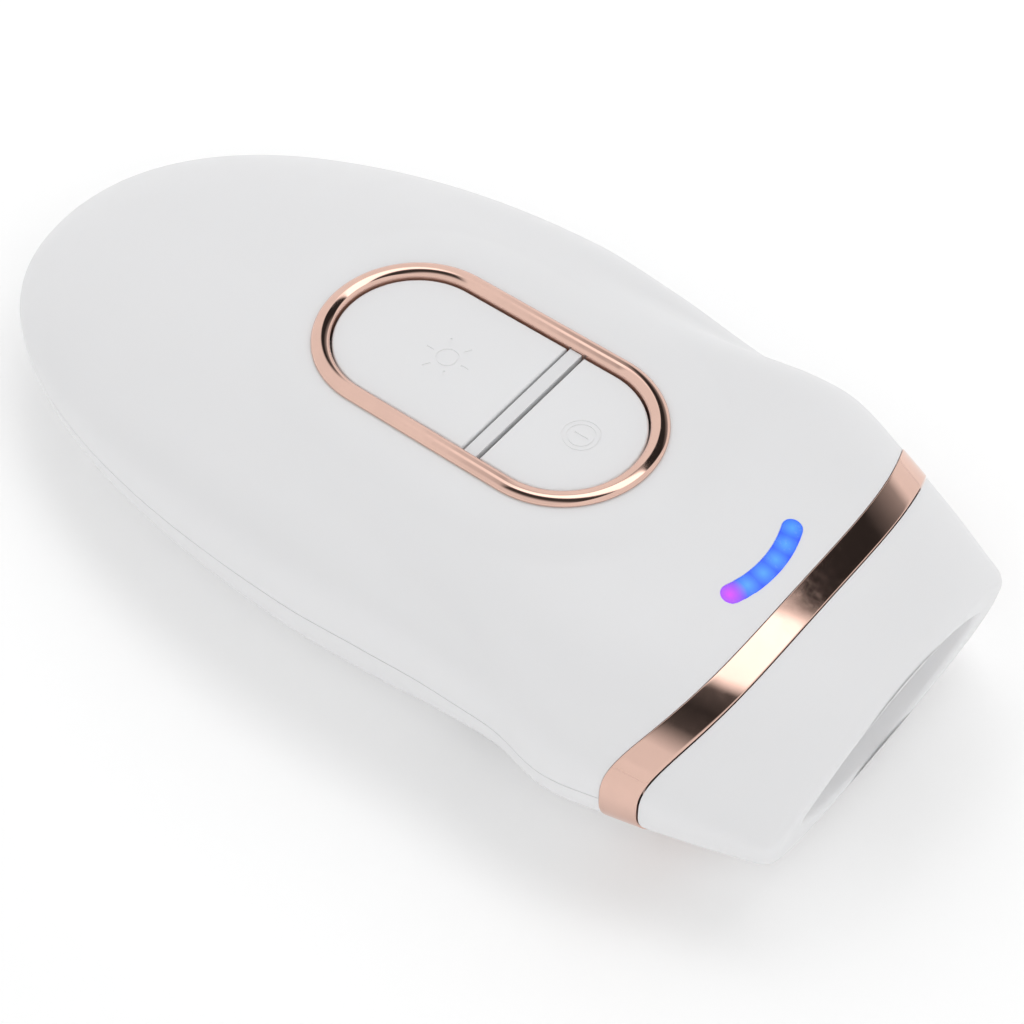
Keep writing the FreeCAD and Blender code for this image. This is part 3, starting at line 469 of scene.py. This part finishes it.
def make_piece(name, points, faces, material, body="body", sharp_deg=32.0):
    mesh = bpy.data.meshes.new(name)
    mesh.from_pydata([tuple(p) for p in place(points)], [], faces)
    bm = bmesh.new()
    bm.from_mesh(mesh)
    bmesh.ops.remove_doubles(bm, verts=bm.verts, dist=2e-6)
    bmesh.ops.recalc_face_normals(bm, faces=bm.faces)
    bm.to_mesh(mesh)
    bm.free()
    mesh.shade_smooth()
    mesh.set_sharp_from_angle(angle=math.radians(sharp_deg))
    mesh.materials.append(material)
    piece = bpy.data.objects.new(name, mesh)
    bpy.context.scene.collection.objects.link(piece)
    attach(piece, body)
    return piece


def soften(piece, width_mm, segments=3):
    bevel = piece.modifiers.new("edge", "BEVEL")
    bevel.width = width_mm * MM
    bevel.segments = segments
    bevel.limit_method = "ANGLE"
    bevel.angle_limit = math.radians(50)
    bevel.harden_normals = True
    return piece


def thick_patch(outer, inner, faces):
    """Closed solid between an outer patch and an inner one with the same faces."""
    count = len(outer)
    edge_use = {}
    for f in faces:
        for a, b in zip(f, f[1:] + f[:1]):
            edge_use[(a, b)] = True
    rim = [(a, b) for a, b in edge_use if (b, a) not in edge_use]
    solid = list(faces) + [tuple(v + count for v in reversed(f)) for f in faces]
    solid += [(b, a, a + count, b + count) for a, b in rim]
    return np.vstack([outer, inner]), solid


def open_up(outer, inner, faces, inside, snap):
    """Removes the faces whose middle is inside an outline and pulls the new rim onto that outline."""
    middle = np.array([outer[list(f)].mean(axis=0) for f in faces])
    hidden = inside(middle)
    kept = [f for f, gone in zip(faces, hidden) if not gone]
    cut = {v for f, gone in zip(faces, hidden) if gone for v in f}
    left = {v for f in kept for v in f}
    rim = np.array(sorted(cut & left))
    moved = snap(outer[rim])
    inner[rim, :2] += moved[:, :2] - outer[rim, :2]
    outer[rim] = moved
    return kept


def tidy(points, faces):
    """Drops the points that no face uses."""
    used = sorted({v for f in faces for v in f})
    index = {v: i for i, v in enumerate(used)}
    return points[used], [tuple(index[v] for v in f) for f in faces]


# Shells

TAIL_ROWS, WAIST_ROWS, ACROSS = 84, 120, 200


def casing_grid(turns, inset):
    """Rows from the tail tip to the band, following the curved band edge towards the front."""
    edge_x = on_band_edge(BAND_BACK, -BAND_GAP, turns, inset)
    rows = []
    for i in range(TAIL_ROWS):
        swing = math.pi / 2 * i / TAIL_ROWS
        x = TAIL_LENGTH * (1 - math.cos(swing) ** (2 / TAIL_POWER["width"]))
        rows.append(body_point(np.full_like(turns, max(x, 1e-4)), turns, inset * smooth_step(x / 3.0 + 0.2)))
    for i in range(WAIST_ROWS + 1):
        x = TAIL_LENGTH + (edge_x - TAIL_LENGTH) * i / WAIST_ROWS
        rows.append(body_point(x, turns, inset))
    return np.array(rows).reshape(-1, 3)


def ring_hole(outer, inner, faces):
    def inside(p):
        return (stadium_distance(p[:, 0], p[:, 1], RING_HOLE_RADIUS) < 0) & (p[:, 2] > 5)

    def snap(p):
        near_x = np.clip(p[:, 0], RING_X - RING_STRAIGHT, RING_X + RING_STRAIGHT)
        away = np.hypot(p[:, 0] - near_x, p[:, 1])
        x = near_x + (p[:, 0] - near_x) / away * RING_HOLE_RADIUS
        y = p[:, 1] / away * RING_HOLE_RADIUS
        return np.stack([x, y, plateau_height(x)], axis=-1)

    return open_up(outer, inner, faces, inside, snap)


def arc_hole(outer, inner, faces):
    centre_x = ARC_X - ARC_RADIUS
    swing = math.asin(ARC_HALF_SPAN / ARC_RADIUS)

    def nearest(p):
        angle = np.clip(np.arctan2(p[:, 1], p[:, 0] - centre_x), -swing, swing)
        return centre_x + ARC_RADIUS * np.cos(angle), ARC_RADIUS * np.sin(angle)

    def inside(p):
        x, y = nearest(p)
        return (np.hypot(p[:, 0] - x, p[:, 1] - y) < ARC_HALF_WIDTH) & (p[:, 2] > 5)

    def snap(p):
        x, y = nearest(p)
        away = np.hypot(p[:, 0] - x, p[:, 1] - y)
        share = (ARC_HALF_WIDTH / away)[:, None]
        flat = np.stack([x, y], axis=-1) * (1 - share) + p[:, :2] * share
        return np.column_stack([flat, p[:, 2]])

    return open_up(outer, inner, faces, inside, snap)


def casing_turns(first, last, height):
    gap = SEAM_GAP / height
    spread = np.linspace(0, 1, ACROSS)
    return first + gap + (last - first - 2 * gap) * spread


def cut_out(piece, solids):
    """Cut closed solids, each a list of points and a list of faces, out of a piece."""
    points, faces = [], []
    for some, sides in solids:
        faces += [tuple(v + len(points) for v in f) for f in sides]
        points += some
    mesh = bpy.data.meshes.new("openings")
    mesh.from_pydata([tuple(p) for p in place(points)], [], faces)
    holes = bpy.data.objects.new("openings", mesh)
    bpy.context.scene.collection.objects.link(holes)
    cut = piece.modifiers.new("openings", "BOOLEAN")
    cut.operation, cut.solver, cut.object = "DIFFERENCE", "EXACT", holes
    evaluated = piece.evaluated_get(bpy.context.evaluated_depsgraph_get())
    final = bpy.data.meshes.new_from_object(evaluated)
    piece.modifiers.clear()
    piece.data = final
    final.set_sharp_from_angle(angle=math.radians(32))
    bpy.data.objects.remove(holes)


def upright_hole(outline, z0, z1):
    """Prism on a closed outline of x, y pairs."""
    n = len(outline)
    points = [(x, y, z) for z in (z0, z1) for x, y in outline]
    faces = [tuple(reversed(range(n))), tuple(range(n, 2 * n))]
    faces += [(k, (k + 1) % n, n + (k + 1) % n, n + k) for k in range(n)]
    return points, faces


def round_outline(x, y, radius, count=40):
    return [(x + radius * math.cos(2 * math.pi * k / count), y + radius * math.sin(2 * math.pi * k / count))
            for k in range(count)]


def slot_outline(x, half_length, radius, count=12):
    ends = []
    for side in (1, -1):
        for k in range(count + 1):
            angle = math.pi * k / count + (0 if side > 0 else math.pi)
            ends.append((x + radius * math.cos(angle), side * half_length + radius * math.sin(angle)))
    return ends


def jack_hole():
    """Cylinder along X through the tail, where the power plug goes in."""
    outline = round_outline(0.0, JACK_Z, JACK_HOLE_RADIUS)
    points, faces = upright_hole(outline, JACK_HOLE_X[0], JACK_HOLE_X[1])
    return [(x, y, z) for y, z, x in points], faces


def make_top_casing(materials):
    turns = casing_turns(0.0, math.pi, TOP_HEIGHT[0])
    outer, inner = casing_grid(turns, 0.0), casing_grid(turns, WALL)
    faces = grid_faces(TAIL_ROWS + WAIST_ROWS + 1, ACROSS, False)
    faces = ring_hole(outer, inner, faces)
    faces = arc_hole(outer, inner, faces)
    points, solid = tidy(*thick_patch(outer, inner, faces))
    piece = make_piece("top_shell", points, solid, materials["shell_white"])
    cut_out(piece, [jack_hole()])
    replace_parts(soften(piece, 0.18), "top_casing")


def make_bottom_casing(materials):
    turns = casing_turns(math.pi, 2 * math.pi, BOTTOM_DEPTH[0])
    outer, inner = casing_grid(turns, 0.0), casing_grid(turns, WALL)
    faces = grid_faces(TAIL_ROWS + WAIST_ROWS + 1, ACROSS, False)
    points, solid = thick_patch(outer, inner, faces)
    piece = make_piece("bottom_shell", points, solid, materials["shell_white"])
    outlines = []
    for first in VENT_ROWS_X:
        for k in range(VENTS_IN_ROW):
            outlines.append(slot_outline(first + VENT_PITCH * k, VENT_HALF_LENGTH, VENT_RADIUS))
    for x, y in SCREW_HOLES:
        outlines += [round_outline(x, side * y, SCREW_HOLE_RADIUS) for side in (-1, 1)]
    cut_out(piece, [upright_hole(outline, *UPRIGHT_CUT_Z) for outline in outlines] + [jack_hole()])
    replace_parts(soften(piece, 0.15), "bottom_casing")


def lens_loop(half_length, half_height, angles):
    """Lens outline of the lamp face, as y, z for each angle about its middle."""
    tip = half_height * 0.22
    rise = half_height - tip
    radius = (half_length**2 + rise**2) / (2 * rise)
    low = half_height - radius
    found = []
    for a in angles:
        c, s = abs(math.cos(a)), abs(math.sin(a))
        reach = low * s + math.sqrt(max(radius**2 - low**2 * c**2, 0.0))
        y, z = reach * c, reach * s
        if y > half_length:
            y = half_length
            z = half_length * s / max(c, 1e-9)
            bulge = tip * 0.8 * max(1 - (z / tip) ** 2, 0.0) if z < tip else 0.0
            y, z = y + bulge, z * (y + bulge) / y
        found.append((math.copysign(y, math.cos(a)), math.copysign(z, math.sin(a))))
    return np.array(found)


def face_points(loop, depth):
    """Points of a y, z loop that lies depth inside the leaning lamp face."""
    y, z = loop[:, 0], loop[:, 1]
    x = BODY_LENGTH - depth * math.cos(FACE_TILT) + z * math.sin(FACE_TILT)
    return np.stack([x, y, FACE_Z + z * math.cos(FACE_TILT) + depth * math.sin(FACE_TILT)], axis=-1)


def make_head(materials):
    count = 360
    turns = np.linspace(0, 2 * math.pi, count, endpoint=False)
    edge_x = on_band_edge(BAND_FRONT, BAND_GAP, turns, 0.0)
    inner_x = on_band_edge(BAND_FRONT, BAND_GAP, turns, WALL)
    rows = []
    for share in np.linspace(0, 1, 8)[:-1]:
        x = inner_x + (BODY_LENGTH - WALL - inner_x) * (1 - share)
        rows.append(body_point(x, turns, WALL))
    rows.append(body_point(inner_x, turns, WALL))
    straight_end = BODY_LENGTH - FACE_EDGE_RADIUS
    for share in np.linspace(0, 1, 44):
        rows.append(body_point(edge_x + (straight_end - edge_x) * share, turns, 0.0))
    for k in range(1, 13):
        swing = math.pi / 2 * k / 12
        x = straight_end + FACE_EDGE_RADIUS * math.sin(swing)
        rows.append(body_point(np.full(count, x), turns, FACE_EDGE_RADIUS * (1 - math.cos(swing))))
    rim = rows[-1]
    angles = np.arctan2(rim[:, 2] - FACE_Z, rim[:, 1])
    slope = (RECESS_HALF[1] - RECESS_FLOOR_HALF[1]) / RECESS_DEPTH

    def lens_at(depth, grow=0.0):
        share = depth / RECESS_DEPTH
        half = RECESS_HALF[0] + (RECESS_FLOOR_HALF[0] - RECESS_HALF[0]) * share + grow
        return face_points(lens_loop(half, RECESS_HALF[1] - slope * depth + grow, angles), depth)

    mouth_radius = 0.7
    mouth = lens_at(0.0, mouth_radius)
    for share in np.linspace(0, 1, 9)[1:]:
        rows.append(rim + (mouth - rim) * share)
    for k in range(1, 7):
        swing = math.pi / 2 * k / 6
        rows.append(lens_at(mouth_radius * (1 - math.cos(swing)), mouth_radius * (1 - math.sin(swing))))
    for depth in np.linspace(mouth_radius, RECESS_DEPTH, 16)[1:]:
        rows.append(lens_at(depth))
    c, s = np.cos(angles), np.sin(angles)
    reach = np.minimum(WINDOW_HALF[0] / np.maximum(np.abs(c), 1e-9),
                       WINDOW_HALF[1] / np.maximum(np.abs(s), 1e-9))
    window = np.stack([reach * c, reach * s], axis=-1)
    floor_loop = rows[-1]
    window_rim = face_points(window, RECESS_DEPTH)
    for share in (0.5, 1.0):
        rows.append(floor_loop + (window_rim - floor_loop) * share)
    rows.append(face_points(window, RECESS_DEPTH + WALL))
    points = np.array(rows).reshape(-1, 3)
    faces = grid_faces(len(rows), count, True)
    faces += [((len(rows) - 1) * count + k, (len(rows) - 1) * count + (k + 1) % count, (k + 1) % count, k)
              for k in range(count)]
    piece = make_piece("head_shell", points, faces, materials["shell_white"])
    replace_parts(piece, "head_casing")


def make_band(materials):
    count, across = 400, 16
    turns = np.linspace(0, 2 * math.pi, count, endpoint=False)
    back = on_band_edge(BAND_BACK, 0.02, turns, -BAND_PROUD)
    front = on_band_edge(BAND_FRONT, -0.02, turns, -BAND_PROUD)
    radius = 0.12
    rows = [body_point(back, turns, WALL)] + [
        body_point(back + radius * (1 - math.cos(a)), turns, radius * (1 - math.sin(a)) - BAND_PROUD)
        for a in np.linspace(0, math.pi / 2, 5)]
    for share in np.linspace(0, 1, across)[1:-1]:
        rows.append(body_point(back + radius + (front - back - 2 * radius) * share, turns, -BAND_PROUD))
    rows += [body_point(front - radius * (1 - math.cos(a)), turns, radius * (1 - math.sin(a)) - BAND_PROUD)
             for a in np.linspace(math.pi / 2, 0, 5)]
    rows.append(body_point(front, turns, WALL))
    points = np.array(rows).reshape(-1, 3)
    faces = grid_faces(len(rows), count, True)
    faces += [((len(rows) - 1) * count + k, (len(rows) - 1) * count + (k + 1) % count, (k + 1) % count, k)
              for k in range(count)]
    piece = make_piece("plated_band", points, faces, materials["rose_gold"], sharp_deg=60)
    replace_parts(piece, "neck_band")


def make_ring(materials):
    """Half-round ring on its narrow skirt, swept round the stadium."""
    middle, half = (RING_INNER + RING_OUTER) / 2, (RING_OUTER - RING_INNER) / 2
    profile = [(RING_INNER, -2.0)]
    for k in range(33):
        swing = math.pi * (1 - k / 32)
        profile.append((middle + half * math.cos(swing), 0.15 + (RING_RISE - 0.15) * math.sin(swing)))
    profile += [(RING_OUTER - 0.08, 0.03), (RING_SKIRT, 0.03), (RING_SKIRT, -2.0)]
    path = []
    for side in (1, -1):
        for k in range(97):
            angle = -math.pi / 2 + math.pi * k / 96 + (0 if side > 0 else math.pi)
            path.append((side * RING_STRAIGHT, angle))
    points = []
    for centre, angle in path:
        for radius, z in profile:
            x, y = centre + radius * math.cos(angle), radius * math.sin(angle)
            points.append((RING_X + x * math.cos(RING_PITCH) + z * math.sin(RING_PITCH), y,
                           RING_Z - x * math.sin(RING_PITCH) + z * math.cos(RING_PITCH)))
    rows, columns = len(path), len(profile)
    faces = []
    for i in range(rows):
        for j in range(columns):
            a, b = (i + 1) % rows, (j + 1) % columns
            faces.append((i * columns + j, a * columns + j, a * columns + b, i * columns + b))
    piece = make_piece("trim_ring", np.array(points), faces, materials["rose_gold"])
    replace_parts(piece, "button_ring")


def dress_cad_nodes(materials):
    slots = {entry["node"]: entry["material_slot"] for entry in record["subparts"]}
    for name, node in frame["nodes"].items():
        node.data.materials.clear()
        node.data.materials.append(materials[slots[name]])


make_camera()
make_studio()
materials = make_materials()
dress_cad_nodes(materials)
make_top_casing(materials)
make_bottom_casing(materials)
make_head(materials)
make_band(materials)
make_ring(materials)
